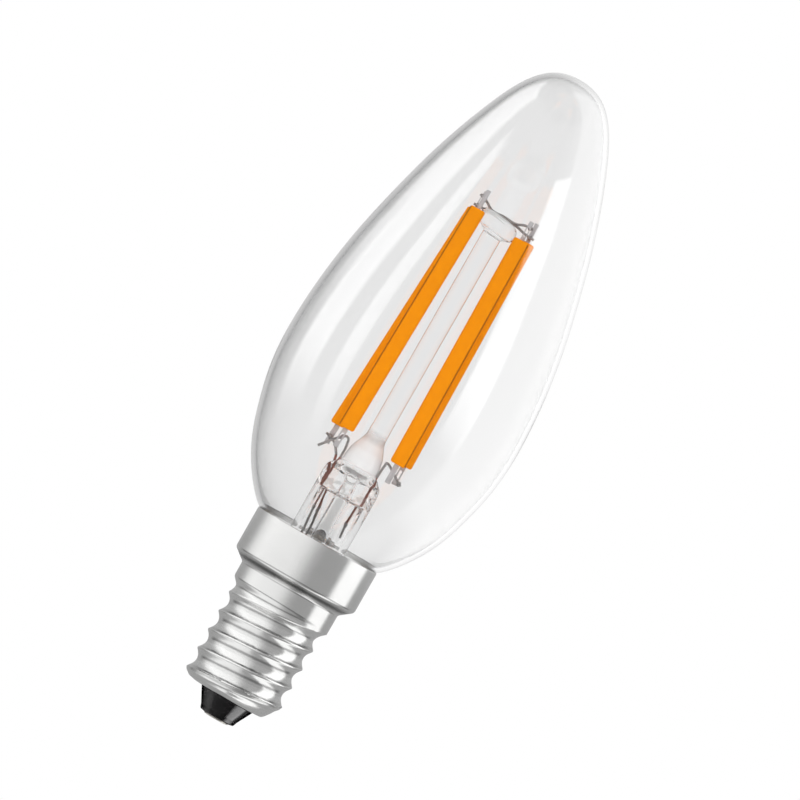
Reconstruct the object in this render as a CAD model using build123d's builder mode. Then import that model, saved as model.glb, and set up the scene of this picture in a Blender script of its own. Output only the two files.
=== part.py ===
"""Clear candle lamp with four light-emitting filaments on a screw cap.

Millimetres, +Z up along the lamp's axis, cap down. The origin is the middle of the centre contact's
underside. -Y is the front, where the exhaust hole of the stem looks out, and -X is the lead side.
"""
import math
import os

from build123d import *

os.makedirs("parts", exist_ok=True)

# Screw cap
thread_d = 13.9            # over the crests
thread_pitch = 2.822
thread_depth = 0.8
thread_turns = 5.45
crest_flat = 0.54          # width of the flat on top of the ridge
crest_bevel = 0.35         # width of the bevel on each side of that flat
crest_drop = 0.16          # how far each bevel falls
groove_flat = 0.6          # width of the groove's floor
sheet = 0.3                # sheet metal of the cap
waist_d = 14.6             # plain band above the thread
waist_height = 2.9
waist_lead_in = 0.4
shoulder_rise = 1.3
shoulder_break = 0.85      # where the shoulder turns up, inside the collar's edge
collar_d = 18.1
collar_height = 5.9
lip_d = 7.9                # hole in the foot of the cap
lip_curl = 2.2             # radius of the curled-in foot
lip_to_thread = 0.25       # the thread starts this far below the lip

# Insulator and centre contact
insulator_height = 3.0
insulator_tip_d = 5.1
insulator_edge = 0.35      # bevel round the tip
insulator_flange = 1.1     # thickness of the flange that the lip holds
lip_clearance = 0.05
contact_d = 3.6
contact_proud = 0.2
contact_shank_d = 1.2
contact_tail = 0.6         # shank above the insulator

# Glass envelope
glass_d = 35.0
glass_wall = 0.75
belly_height = 23.0        # collar's edge to the widest place
flame_height = 47.5        # widest place to the tip
flame_low_r = 80.0         # first curve above the widest place
flame_low_angle = 12.0     # slope from the axis where that curve ends
flame_tip_r = 7.2
belly_high_r = 44.0        # first curve below the widest place
belly_high_angle = 12.0    # slope where that curve ends
belly_angle = 32.0         # slope where the belly turns in
shoulder_angle = 52.0      # slope of the glass above the collar
shoulder_bend = 5.0
neck_ease = 0.6            # bevel between the shoulder and the neck
neck_inset = 0.1           # the glass turns into the neck this far below the collar's edge
neck_foot_gap = 0.7        # the neck's foot above the collar's foot
cement_gap = 0.35          # room for cement between the collar and the glass
cement_clearance = 0.05
cement_depth = 1.0         # top of the cement below the collar's edge

# Stem
stem_d = 8.2
stem_wall = 0.85
stem_straight = 4.5
stem_clear = 1.0           # straight tube's foot above the collar's edge
press_depth = 3.4          # thickness of the flat press
press_rise = 2.5           # round tube to flat press
press_height = 3.1
hollow_rise = 0.4          # top of the tube's hollow above the foot of the press
exhaust_d = 2.45
exhaust_bore = 1.54
exhaust_tail = 3.3         # exhaust tube below the neck's foot
exhaust_hole_height = 1.7  # exhaust hole below the top of the press
exhaust_hole_d = 1.7

# Pillar
pillar_d = 2.7
pillar_foot_rise = 3.4
button_d = 5.6
button_height = 4.1
button_drop = 1.9          # foot of the button below the highest filament's top

# Filaments
filament_length = 34.0
filament_width = 2.2
filament_thick = 1.4
filament_bevel = 0.45
tab_length = 2.8
tab_width = 0.8
tab_thick = 0.2
tab_slot_length = 1.1
tab_slot_width = 0.4

# Wires
wire_d = 0.44
wire_sides = 8
wire_bend = 0.3            # a corner of a wire is cut off this far on each side
weld_gap = 0.03            # between a wire and the tab that it is welded to
seal_tail = 7.0            # seal wire, from its lower knot to the top of the press
lead_rise = 1.9            # inner leads go up this far from the press before they bend
hook_height = 0.95         # the left front lead bends down this far above its weld
hook_in = 0.65             # and this far inside it
hook_end = 2.2             # its end below the weld
hook_out = 2.1             # and outside it
elbow_end = 0.9            # end of the left back lead past its weld
peak_height = 0.9          # the right lead's peak above its weld, and its end below it
peak_in = 1.2
right_tail = 2.3           # free end of the right outer lead
top_wire_level = 2.54      # top wires above the foot of the button
top_wire_offset = 0.84     # top wires in front of and behind the axis
top_wire_left = 1.4        # they leave the straight run through the button here, left of the axis
top_wire_right = 1.867     # and here, right of it
top_wire_bend = 0.4        # they bend to their weld this far inside it
top_wire_end = 0.85        # and end this far outside it
top_hook = 0.5             # the front one's left end, bent up

# How far along its tab, from the filament's end, each wire is welded
weld_reach = {
    ("front_left", "lower"): 1.6,
    ("back_left", "lower"): 1.8,
    ("front_right", "lower"): 1.3,
    ("front_left", "upper"): 1.4,
    ("front_right", "upper"): 2.0,
    ("back_left", "upper"): 0.6,
    ("back_right", "upper"): 0.7,
}

# Driver
board_thick = 1.0
board_height = 12.5
board_offset = 1.4         # middle of the board behind the axis
board_clearance = 0.2
capacitor_d = 4.0
capacitor_length = 5.0
capacitor_edge = 0.3
capacitor_side = 1.6       # right of the axis
capacitor_level = 0.6      # share of the board's height, as for the next two
rectifier_level = 0.3
chip_level = 0.72
rectifier_size = (4.0, 1.5, 3.6)
chip_size = (3.0, 1.4, 3.0)
fuse_d = 1.6
fuse_length = 3.5
fuse_side = 2.34           # left of the axis
fuse_lift = 2.4            # fuse above the insulator
fuse_lead = 1.0            # its upper lead, up to the bend
lead_lap = 1.5             # wires soldered this far down the board
lead_slack = 1.4           # outer leads bend in this far above the board

# Heights and radii that follow from the sizes above
thread_r = thread_d / 2
root_r = thread_r - thread_depth
bore_r = root_r - sheet
waist_r = waist_d / 2
collar_r = collar_d / 2
lip_r = lip_d / 2
wire_r = wire_d / 2
stem_r = stem_d / 2
glass_r = glass_d / 2
neck_r = collar_r - sheet - cement_gap
pillar_r = pillar_d / 2

lip_z = contact_proud + insulator_height
thread_z = lip_z - lip_to_thread
ridge_half = (thread_pitch - groove_flat) / 2
thread_end_z = thread_z + thread_turns * thread_pitch
waist_z = thread_end_z - ridge_half - lip_to_thread
waist_full_z = waist_z + waist_lead_in
shoulder_z = waist_full_z + waist_height
collar_z = shoulder_z + shoulder_rise
collar_top_z = collar_z + collar_height
insulator_top_z = lip_z + sheet + insulator_flange
rim_z = collar_z + neck_foot_gap
widest_z = collar_top_z + belly_height
stem_foot_z = collar_top_z + stem_clear
press_foot_z = stem_foot_z + stem_straight
press_flat_z = press_foot_z + press_rise
press_top_z = press_flat_z + press_height
board_front_y = board_offset - board_thick / 2
board_back_y = board_offset + board_thick / 2

# The seams of the turned faces stand clear of both ends of the thread
seam = math.radians(250)
turning_plane = Plane(
    (0, 0, 0),
    x_dir=(math.cos(seam), math.sin(seam), 0),
    z_dir=(math.sin(seam), -math.cos(seam), 0),
)


def turned(points):
    """A solid turned about the lamp's axis from a closed outline of (radius, height) points."""
    with BuildPart() as piece:
        with BuildSketch(turning_plane):
            with BuildLine():
                Polyline(*points, close=True)
            make_face()
        revolve(axis=Axis.Z)
    return piece.part


def wire_along(points):
    """A wire through the points, bent in two steps at each one between its ends."""
    points = [Vector(*point) for point in points]
    route = [points[0]]
    for before, corner, after in zip(points, points[1:], points[2:]):
        route.append(corner + (before - corner).normalized() * wire_bend)
        route.append(corner + (after - corner).normalized() * wire_bend)
    route.append(points[-1])
    with BuildLine() as path:
        Polyline(*route)
    with BuildPart() as piece:
        with BuildSketch(Plane(route[0], z_dir=route[1] - route[0])):
            RegularPolygon(wire_r, wire_sides)
        sweep(path=path.line, transition=Transition.RIGHT)
    return piece.part


# Cap shell: a drawn cup with a rolled round thread, a plain waist and a wide collar
with BuildLine() as thread_path:
    Helix(thread_pitch, thread_turns * thread_pitch, root_r, center=(0, 0, thread_z))
crest_half = crest_flat / 2
bevel_half = crest_half + crest_bevel
ridge_root = root_r - sheet / 2
with BuildPart() as cap_shell:
    add(turned([(0, 0), (root_r, 0), (root_r, waist_full_z), (0, waist_full_z)]))
    with BuildSketch(Plane.XZ):
        with BuildLine():
            Polyline(
                (ridge_root, thread_z - ridge_half),
                (root_r, thread_z - ridge_half),
                (thread_r - crest_drop, thread_z - bevel_half),
                (thread_r, thread_z - crest_half),
                (thread_r, thread_z + crest_half),
                (thread_r - crest_drop, thread_z + bevel_half),
                (root_r, thread_z + ridge_half),
                (ridge_root, thread_z + ridge_half),
                close=True,
            )
        make_face()
    sweep(path=thread_path.line, is_frenet=True, clean=False)
    add(
        turned(
            [
                (0, waist_z),
                (waist_r - waist_lead_in, waist_z),
                (waist_r, waist_full_z),
                (waist_r, shoulder_z),
                (collar_r - shoulder_break, shoulder_z + shoulder_rise - shoulder_break),
                (collar_r, collar_z),
                (collar_r, collar_top_z),
                (0, collar_top_z),
            ]
        )
    )
    curl_r = thread_r + sheet
    with BuildSketch(turning_plane):
        with BuildLine():
            TangentArc((curl_r - lip_curl, lip_z), (curl_r, lip_z + lip_curl), tangent=(1, 0))
            Polyline(
                (curl_r, lip_z + lip_curl),
                (collar_r, lip_z + lip_curl),
                (collar_r, 0),
                (0, 0),
                (0, lip_z),
                (curl_r - lip_curl, lip_z),
            )
        make_face()
    revolve(axis=Axis.Z, mode=Mode.SUBTRACT)
    add(
        turned(
            [
                (0, lip_z - sheet),
                (lip_r, lip_z - sheet),
                (lip_r, lip_z + sheet),
                (curl_r - lip_curl, lip_z + sheet),
                (bore_r, lip_z + sheet + bore_r - curl_r + lip_curl),
                (bore_r, waist_z + sheet),
                (waist_r - sheet, waist_full_z + sheet),
                (waist_r - sheet, shoulder_z + sheet / 2),
                (collar_r - shoulder_break, shoulder_z + shoulder_rise - shoulder_break + 1.5 * sheet),
                (collar_r - sheet, collar_z + sheet / 2),
                (collar_r - sheet, collar_top_z + sheet),
                (0, collar_top_z + sheet),
            ]
        ),
        mode=Mode.SUBTRACT,
    )
cap_shell.part.label = "cap_shell"
export_step(cap_shell.part, "parts/cap_shell.step")

# Centre contact: a nail head below the insulator, its shank through it
contact_tail_z = insulator_top_z + contact_tail
with BuildPart() as centre_contact:
    contact_r = contact_d / 2
    shank_r = contact_shank_d / 2
    add(
        turned(
            [
                (0, 0),
                (contact_r - contact_proud / 2, 0),
                (contact_r, contact_proud / 2),
                (contact_r, contact_proud),
                (shank_r, contact_proud),
                (shank_r, contact_tail_z),
                (0, contact_tail_z),
            ]
        )
    )
centre_contact.part.label = "centre_contact"
export_step(centre_contact.part, "parts/centre_contact.step")

# Insulator: a black cone below the cap, a flange inside it
with BuildPart() as cap_insulator:
    insulator_tip_r = insulator_tip_d / 2
    cone_r = lip_r - lip_clearance
    flange_r = curl_r - lip_curl - lip_clearance
    add(
        turned(
            [
                (shank_r, contact_proud),
                (insulator_tip_r - insulator_edge, contact_proud),
                (insulator_tip_r, contact_proud + insulator_edge),
                (cone_r, lip_z),
                (cone_r, lip_z + sheet),
                (flange_r, lip_z + sheet),
                (flange_r, insulator_top_z),
                (shank_r, insulator_top_z),
            ]
        )
    )
cap_insulator.part.label = "cap_insulator"
export_step(cap_insulator.part, "parts/cap_insulator.step")

# Glass envelope: a blown candle flame with an open neck, an outline of tangent arcs
neck_corner_z = collar_top_z - neck_inset


def bow(radius, start_angle, end_angle):
    """How far in and how far along the axis an arc goes, between two slopes in degrees."""
    start, end = math.radians(start_angle), math.radians(end_angle)
    return radius * (math.cos(start) - math.cos(end)), radius * (math.sin(end) - math.sin(start))


# The upper flame curve touches both the lower one and the round tip
low_in, low_up = bow(flame_low_r, 0, flame_low_angle)
flame_slope = math.radians(flame_low_angle)
low_r = glass_r - low_in
tip_down = flame_height - flame_tip_r - low_up
lean = low_r * math.cos(flame_slope) - tip_down * math.sin(flame_slope) - flame_tip_r
flame_high_r = (low_r**2 + tip_down**2 - flame_tip_r**2) / (2 * lean)
tip_slope = math.atan2(
    tip_down + flame_high_r * math.sin(flame_slope),
    flame_high_r * math.cos(flame_slope) - low_r,
)
flame_angle = math.degrees(tip_slope)

# The lower belly curve brings the straight shoulder to the neck's corner
high_in, high_down = bow(belly_high_r, 0, belly_high_angle)
unit_in, unit_down = bow(1, belly_high_angle, belly_angle)
bend_in, bend_down = bow(shoulder_bend, belly_angle, shoulder_angle)
shoulder = math.radians(shoulder_angle)
left_in = glass_r - high_in - bend_in - neck_r
left_down = widest_z - high_down - bend_down - neck_corner_z
belly_low_r = (left_down - left_in / math.tan(shoulder)) / (unit_down - unit_in / math.tan(shoulder))

flame_arcs = [
    (flame_low_r, flame_low_angle),
    (flame_high_r, flame_angle - flame_low_angle),
    (flame_tip_r, 90 - flame_angle),
]
belly_arcs = [
    (belly_high_r, belly_high_angle),
    (belly_low_r, belly_angle - belly_high_angle),
    (shoulder_bend, shoulder_angle - belly_angle),
]


def blown_form(inset, foot_z):
    """The envelope's outline, this far inside the glass, turned to a solid."""
    throat_r = neck_r - inset
    corner_z = neck_corner_z + inset * math.tan(shoulder / 2)
    with BuildPart() as form:
        with BuildSketch(turning_plane):
            with BuildLine():
                tip, way = (glass_r - inset, widest_z), (0, 1)
                for radius, angle in flame_arcs:
                    arc = JernArc(tip, way, radius - inset, angle)
                    tip, way = arc @ 1, arc % 1
                turn_in, way = (glass_r - inset, widest_z), (0, -1)
                for radius, angle in belly_arcs:
                    arc = JernArc(turn_in, way, radius - inset, -angle)
                    turn_in, way = arc @ 1, arc % 1
                Polyline(
                    turn_in,
                    (throat_r + neck_ease * math.sin(shoulder), corner_z + neck_ease * math.cos(shoulder)),
                    (throat_r, corner_z - neck_ease),
                    (throat_r, foot_z),
                    (0, foot_z),
                    tip,
                )
            make_face()
        revolve(axis=Axis.Z)
    return form.part


with BuildPart() as glass_envelope:
    add(blown_form(0, rim_z))
    add(blown_form(glass_wall, rim_z - glass_wall), mode=Mode.SUBTRACT)
glass_envelope.part.label = "glass_envelope"
export_step(glass_envelope.part, "parts/glass_envelope.step")

# Basing cement: the ring that holds the glass in the collar
with BuildPart() as basing_cement:
    ring_r = collar_r - sheet - cement_clearance
    add(
        turned(
            [
                (neck_r + cement_clearance, rim_z - stem_wall),
                (neck_r - stem_wall, rim_z - stem_wall),
                (neck_r - stem_wall, collar_z - cement_clearance),
                (ring_r - cement_clearance, collar_z + sheet / 2 + cement_clearance),
                (ring_r, collar_z + sheet),
                (ring_r, collar_top_z - cement_depth),
                (neck_r + cement_clearance, collar_top_z - cement_depth),
            ]
        )
    )
basing_cement.part.label = "basing_cement"
export_step(basing_cement.part, "parts/basing_cement.step")

# Seal wires: copper-clad wires through the press, one knot below it and one on top
seal_wires = {
    "front_left": [(-2.95, -0.5), (-2.85, -0.6)],
    "back_left": [(-2.35, 0.6), (-3.5, 0.6)],
    "right": [(2.41, -0.4), (2.7, -0.6)],
}
seal_foot_z = press_top_z - seal_tail
seal_parts = {}
for side, (low, high) in seal_wires.items():
    seal = wire_along([(*low, seal_foot_z), (*high, press_top_z)])
    seal.label = f"seal_wire_{side}"
    export_step(seal, f"parts/seal_wire_{side}.step")
    seal_parts[side] = seal

# Stem: a flared tube, its top pressed flat round the seal wires
stem_bore_r = stem_r - stem_wall
flare_r = neck_r - glass_wall - stem_wall / 2
hollow_top_z = press_foot_z + hollow_rise
exhaust_hole_z = press_top_z - exhaust_hole_height


def flare(radius, top_z, foot_r, foot_z):
    """Points down the trumpet of the flare, from the tube to the rim, along an arc in three runs."""
    out = foot_r - radius
    down = top_z - foot_z
    bend_r = (out**2 + down**2) / (2 * out)
    sweep_angle = 2 * math.atan2(out, down)
    angles = [sweep_angle * step / 3 for step in range(4)]
    return [(radius + bend_r * (1 - math.cos(a)), top_z - bend_r * math.sin(a)) for a in angles]


with BuildPart() as stem_flare:
    inner_foot_r = flare_r - stem_wall / 2
    add(
        turned(
            [
                (0, press_top_z),
                (stem_r, press_top_z),
                *flare(stem_r, stem_foot_z, flare_r, rim_z),
                (neck_r, rim_z),
                (neck_r, rim_z - stem_wall),
                *reversed(flare(stem_bore_r, stem_foot_z, inner_foot_r, rim_z - stem_wall)),
                (stem_bore_r, hollow_top_z),
                (0, hollow_top_z),
            ]
        )
    )
    half_press = press_depth / 2
    with BuildSketch(Plane.YZ):
        for way in (-1, 1):
            with BuildLine():
                Polyline(
                    (way * stem_r, press_foot_z),
                    (way * half_press, press_flat_z),
                    (way * half_press, press_top_z),
                    (way * stem_d, press_top_z),
                    (way * stem_d, press_foot_z),
                    close=True,
                )
            make_face()
    extrude(amount=stem_r, both=True, mode=Mode.SUBTRACT)
    with BuildSketch(Plane.XY.offset(hollow_top_z)):
        Circle(exhaust_bore / 2)
    extrude(amount=exhaust_hole_z - hollow_top_z, mode=Mode.SUBTRACT)
    with BuildSketch(Plane.XZ):
        with Locations((0, exhaust_hole_z)):
            Circle(exhaust_hole_d / 2)
    extrude(amount=press_depth, mode=Mode.SUBTRACT)
    for seal in seal_parts.values():
        add(seal, mode=Mode.SUBTRACT)
stem_flare.part.label = "stem_flare"
export_step(stem_flare.part, "parts/stem_flare.step")

# Exhaust tube: from the press down into the cap, its end melted shut
exhaust_foot_z = rim_z - exhaust_tail
with BuildPart() as exhaust_tube:
    exhaust_r = exhaust_d / 2
    exhaust_wall = exhaust_r - exhaust_bore / 2
    add(
        turned(
            [
                (0, exhaust_foot_z),
                (exhaust_bore / 2, exhaust_foot_z),
                (exhaust_r, exhaust_foot_z + exhaust_wall),
                (exhaust_r, hollow_top_z),
                (exhaust_bore / 2, hollow_top_z),
                (exhaust_bore / 2, exhaust_foot_z + exhaust_wall),
                (0, exhaust_foot_z + exhaust_wall),
            ]
        )
    )
exhaust_tube.part.label = "exhaust_tube"
export_step(exhaust_tube.part, "parts/exhaust_tube.step")

# Filaments: foot (x, y), lift above the press, lean of the top (x, y), and the end with the slotted tab
filaments = {
    "front_left": ((-4.1, -2.8), 3.7, (0.8, 0.4), "lower"),
    "back_left": ((-5.3, 2.8), 3.5, (1.7, -0.4), "upper"),
    "front_right": ((4.2, -2.8), 2.9, (-0.4, 0.4), "upper"),
    "back_right": ((5.1, 2.8), 3.1, (-0.5, -0.4), "lower"),
}
filament_top_z = press_top_z + filaments["front_left"][1] + filament_length
end_planes = {}
for side, ((foot_x, foot_y), lift, (lean_x, lean_y), slotted_end) in filaments.items():
    rise = math.sqrt(filament_length**2 - lean_x**2 - lean_y**2)
    foot_plane = Plane(
        (foot_x, foot_y, press_top_z + lift),
        x_dir=(1, 0, 0),
        z_dir=(lean_x, lean_y, rise),
    )
    end_planes[side] = {"lower": foot_plane, "upper": foot_plane.offset(filament_length)}
    with BuildPart() as filament:
        with BuildSketch(foot_plane) as filament_section:
            Rectangle(filament_width, filament_thick)
            chamfer(filament_section.vertices(), filament_bevel)
        extrude(amount=filament_length)
    filament.part.label = f"filament_{side}"
    export_step(filament.part, f"parts/filament_{side}.step")
    for end, way in (("lower", -1), ("upper", 1)):
        plane = end_planes[side][end]
        with BuildPart() as tab:
            with BuildSketch(plane):
                Rectangle(tab_width, tab_thick)
            extrude(amount=way * tab_length)
            if end == slotted_end:
                with BuildSketch(Plane(plane.origin, x_dir=plane.x_dir, z_dir=-plane.y_dir)):
                    with Locations((0, way * tab_length / 2)):
                        Rectangle(tab_slot_width, tab_slot_length)
                extrude(amount=tab_thick, both=True, mode=Mode.SUBTRACT)
        tab.part.label = f"{end}_tab_{side}"
        export_step(tab.part, f"parts/{end}_tab_{side}.step")


def weld_point(side, end):
    """Where the middle of a wire passes the inner face of a tab."""
    way = {"lower": -1, "upper": 1}[end]
    on_tab = end_planes[side][end].offset(way * weld_reach[side, end]).origin
    inward = -math.copysign(tab_thick / 2 + wire_r + weld_gap, on_tab.Y)
    return on_tab + Vector(0, inward, 0)


# Inner leads: from the top of the press to the lower tabs; the right one ties two filaments together
front_left_weld = weld_point("front_left", "lower")
back_left_weld = weld_point("back_left", "lower")
front_right_weld = weld_point("front_right", "lower")
tie_x = end_planes["back_right"]["lower"].origin.X + tab_width / 2 + wire_r + 2 * weld_gap
tie_z = front_right_weld.Z - peak_height
inner_leads = {
    "front_left": [
        Vector(*seal_wires["front_left"][1], press_top_z),
        Vector(-2.9, -0.8, press_top_z + lead_rise),
        front_left_weld + Vector(hook_in, 0, hook_height),
        front_left_weld + Vector(-hook_out, 0, -hook_end),
    ],
    "back_left": [
        Vector(*seal_wires["back_left"][1], press_top_z),
        Vector(-4.2, 1.4, press_top_z + lead_rise / 2),
        back_left_weld + Vector(-weld_gap, 0, 0),
        back_left_weld + Vector(-elbow_end, 0, wire_r),
    ],
    "right": [
        Vector(*seal_wires["right"][1], press_top_z),
        Vector(2.82, -0.8, press_top_z + lead_rise),
        front_right_weld + Vector(-peak_in, 0, peak_height),
        Vector(tie_x, front_right_weld.Y, tie_z),
        Vector(tie_x, end_planes["back_right"]["lower"].origin.Y + tab_thick, tie_z),
    ],
}
for side, points in inner_leads.items():
    lead = wire_along(points)
    lead.label = f"inner_lead_{side}"
    export_step(lead, f"parts/inner_lead_{side}.step")

# Top wires: each ties the upper tabs of two filaments, through the glass button
button_z = filament_top_z - button_drop
top_wire_z = button_z + top_wire_level
top_welds = {
    "front": (weld_point("front_left", "upper"), weld_point("front_right", "upper"), -1),
    "back": (weld_point("back_left", "upper"), weld_point("back_right", "upper"), 1),
}
top_wires = {}
for side, (left_weld, right_weld, way) in top_welds.items():
    top_wire = wire_along(
        [
            left_weld + Vector(-top_wire_end, 0, top_hook if side == "front" else 0),
            left_weld + Vector(top_wire_bend, 0, 0),
            Vector(-top_wire_left, way * top_wire_offset, top_wire_z),
            Vector(top_wire_right, way * top_wire_offset, top_wire_z),
            right_weld + Vector(-top_wire_bend, 0, 0),
            right_weld + Vector(top_wire_end, 0, -weld_gap),
        ]
    )
    top_wire.label = f"top_wire_{side}"
    export_step(top_wire, f"parts/top_wire_{side}.step")
    top_wires[side] = top_wire

# Glass pillar: a rod on the press, its top melted to a button round the top wires
button_outline = [(1.0, 0.18), (1.0, 0.5), (0.68, 0.78), (0.45, 0.93)]
with BuildPart() as glass_pillar:
    button_r = button_d / 2
    add(
        turned(
            [
                (0, press_top_z),
                (half_press, press_top_z),
                (pillar_r, press_top_z + pillar_foot_rise),
                (pillar_r, button_z),
                *((out * button_r, button_z + up * button_height) for out, up in button_outline),
                (0, button_z + button_height),
            ]
        )
    )
    for top_wire in top_wires.values():
        add(top_wire, mode=Mode.SUBTRACT)
glass_pillar.part.label = "glass_pillar"
export_step(glass_pillar.part, "parts/glass_pillar.step")

# Driver board: stands on the insulator behind the contact's tail, its edges close to the bore
board_half = math.sqrt((bore_r - board_clearance) ** 2 - board_back_y**2)
board_top_z = insulator_top_z + board_height
with BuildPart() as driver_board:
    with Locations((0, board_offset, insulator_top_z)):
        Box(2 * board_half, board_thick, board_height, align=(Align.CENTER, Align.CENTER, Align.MIN))
driver_board.part.label = "driver_board"
export_step(driver_board.part, "parts/driver_board.step")

# Smoothing capacitor: a small can that stands out from the front of the board
with BuildPart() as smoothing_capacitor:
    with BuildSketch(Plane.XZ.offset(-board_front_y)):
        with Locations((capacitor_side, insulator_top_z + capacitor_level * board_height)):
            Circle(capacitor_d / 2)
    extrude(amount=capacitor_length)
    chamfer(smoothing_capacitor.faces().sort_by(Axis.Y)[0].edges(), capacitor_edge)
smoothing_capacitor.part.label = "smoothing_capacitor"
export_step(smoothing_capacitor.part, "parts/smoothing_capacitor.step")

# Bridge rectifier and driver chip: moulded bodies on the back of the board
back_parts = {"bridge_rectifier": (rectifier_size, rectifier_level), "driver_chip": (chip_size, chip_level)}
for node, ((size_x, size_y, size_z), share) in back_parts.items():
    with BuildPart() as moulding:
        with Locations((0, board_back_y, insulator_top_z + share * board_height)):
            Box(size_x, size_y, size_z, align=(Align.CENTER, Align.MIN, Align.CENTER))
    moulding.part.label = node
    export_step(moulding.part, f"parts/{node}.step")

# Fuse resistor: an upright body in front of the board, its upper lead bent back to the board
fuse_y = board_front_y - fuse_d - wire_r
fuse_foot_z = insulator_top_z + fuse_lift
fuse_top_z = fuse_foot_z + fuse_length
with BuildPart() as fuse_resistor:
    with Locations((-fuse_side, fuse_y, fuse_foot_z)):
        Cylinder(fuse_d / 2, fuse_length, align=(Align.CENTER, Align.CENTER, Align.MIN))
    add(
        wire_along(
            [
                (-fuse_side, fuse_y, fuse_top_z - wire_d),
                (-fuse_side, fuse_y, fuse_top_z + fuse_lead),
                (-fuse_side, board_front_y, fuse_top_z + fuse_lead),
            ]
        )
    )
fuse_resistor.part.label = "fuse_resistor"
export_step(fuse_resistor.part, "parts/fuse_resistor.step")

# Wires inside the cap: contact to fuse, board to shell, and the stem's outer leads
lead_y = board_front_y - wire_r - weld_gap
lead_end_z = board_top_z - lead_lap
shell_touch_x = -math.sqrt((waist_r - sheet - wire_r - weld_gap) ** 2 - lead_y**2)
lead_ends = {"front_left": -0.3 * board_half, "back_left": -0.6 * board_half}
cap_wires = {
    "live_wire": [
        (0, 0, contact_tail_z),
        (0, 0, contact_tail_z + 0.7),
        (-fuse_side, fuse_y, fuse_foot_z - 0.8),
        (-fuse_side, fuse_y, fuse_foot_z),
    ],
    "neutral_wire": [
        (-0.85 * board_half, lead_y, lead_end_z),
        (-0.85 * board_half, lead_y, board_top_z + 0.4),
        (shell_touch_x, lead_y, waist_full_z + waist_height / 2),
        (shell_touch_x, lead_y, shoulder_z),
    ],
    "outer_lead_right": [
        (*seal_wires["right"][0], seal_foot_z),
        (seal_wires["right"][0][0] + 0.2, seal_wires["right"][0][1], seal_foot_z - right_tail),
    ],
}
for side, end_x in lead_ends.items():
    low_x, low_y = seal_wires[side][0]
    cap_wires[f"outer_lead_{side}"] = [
        (low_x, low_y, seal_foot_z),
        (low_x + 0.5, low_y, stem_foot_z - 0.9),
        (end_x, lead_y, board_top_z + lead_slack),
        (end_x, lead_y, lead_end_z),
    ]
for node, points in cap_wires.items():
    cap_wire = wire_along(points)
    cap_wire.label = node
    export_step(cap_wire, f"parts/{node}.step")
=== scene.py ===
"""Looks of the candle bulb: blown glass, pressed stem, rolled cap, coated filaments and their wires.

The CAD frame stays where it is. Each piece below stands for the CAD nodes that it names, or the node
stays and gets a procedural material. Metres, +Z up along the bulb's axis, cap down, the photo seen from -Y.
"""

import math

import bpy
from mathutils import Euler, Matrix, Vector


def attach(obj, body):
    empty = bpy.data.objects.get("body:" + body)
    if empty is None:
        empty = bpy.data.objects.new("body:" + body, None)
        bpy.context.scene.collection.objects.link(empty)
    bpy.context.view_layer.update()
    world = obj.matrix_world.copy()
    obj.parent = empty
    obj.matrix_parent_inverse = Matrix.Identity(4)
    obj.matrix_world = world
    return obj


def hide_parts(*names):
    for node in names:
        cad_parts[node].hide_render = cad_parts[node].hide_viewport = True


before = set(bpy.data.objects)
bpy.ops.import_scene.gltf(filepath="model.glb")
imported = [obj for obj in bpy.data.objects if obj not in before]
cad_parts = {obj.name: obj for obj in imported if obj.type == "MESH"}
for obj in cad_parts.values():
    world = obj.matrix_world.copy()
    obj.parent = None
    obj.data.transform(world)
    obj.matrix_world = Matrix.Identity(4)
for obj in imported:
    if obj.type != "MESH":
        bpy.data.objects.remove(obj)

bl_info = {
    "name": "Candle bulb",
    "version": (1, 0, 0),
    "blender": (4, 5, 0),
    "location": "View3D > Sidebar > Candle bulb",
    "description": "Models the looks of a clear candle bulb on its CAD frame",
    "category": "Object",
}

MM = 0.001
MERGE = 0.004 * MM
SMOOTH_ANGLE = math.radians(42)
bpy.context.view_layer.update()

# Outline of the blown glass, tip to neck: control points of a smooth curve, (radius, height) in mm
GLASS_OUTLINE = (
    (0.0, 97.96), (2.85, 97.96), (6.15, 95.44), (8.9, 89.77), (11.27, 83.59), (13.19, 77.59),
    (14.78, 71.17), (16.19, 64.96), (17.11, 58.42), (17.57, 52.1), (17.44, 45.46), (15.95, 39.27),
    (14.0, 33.24), (8.89, 26.58), (7.66, 27.16), (7.95, 22.3),
)
CURVE_STEPS = 8

# Outline of the stem, button to flare, then up inside the flare and down the exhaust tube, in mm:
# radius, height, rounding
STEM_OUTLINE = (
    (0.0, 77.0, 0.0), (1.4, 76.97, 0.6), (2.3, 76.8, 0.5), (2.8, 76.3, 0.6), (2.85, 74.9, 1.2),
    (1.35, 74.2, 0.5), (1.35, 45.0, 4.0), (1.42, 42.9, 1.8), (2.3, 40.9, 1.4), (2.55, 39.6, 1.0),
    (2.55, 38.7, 0.5), (3.2, 38.0, 0.6), (3.95, 37.2, 0.6), (4.1, 36.0, 0.6), (4.1, 25.4, 1.4),
    (7.8, 22.6, 0.5), (7.8, 21.45, 0.3), (7.1, 21.45, 0.3), (3.3, 25.0, 1.4), (3.3, 34.2, 0.3),
    (1.225, 34.2, 0.9), (1.225, 18.97, 0.5), (0.0, 18.97, 0.0),
)
STEM_FACETS = 64

# Heights in mm where the stem starts to be pressed flat, is flat, is still flat and is round again,
# and the same for the sag of the button
PRESSED = (33.0, 35.0, 36.8, 38.6)
SAGGING = (72.5, 75.0, 76.8, 78.4)

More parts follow.
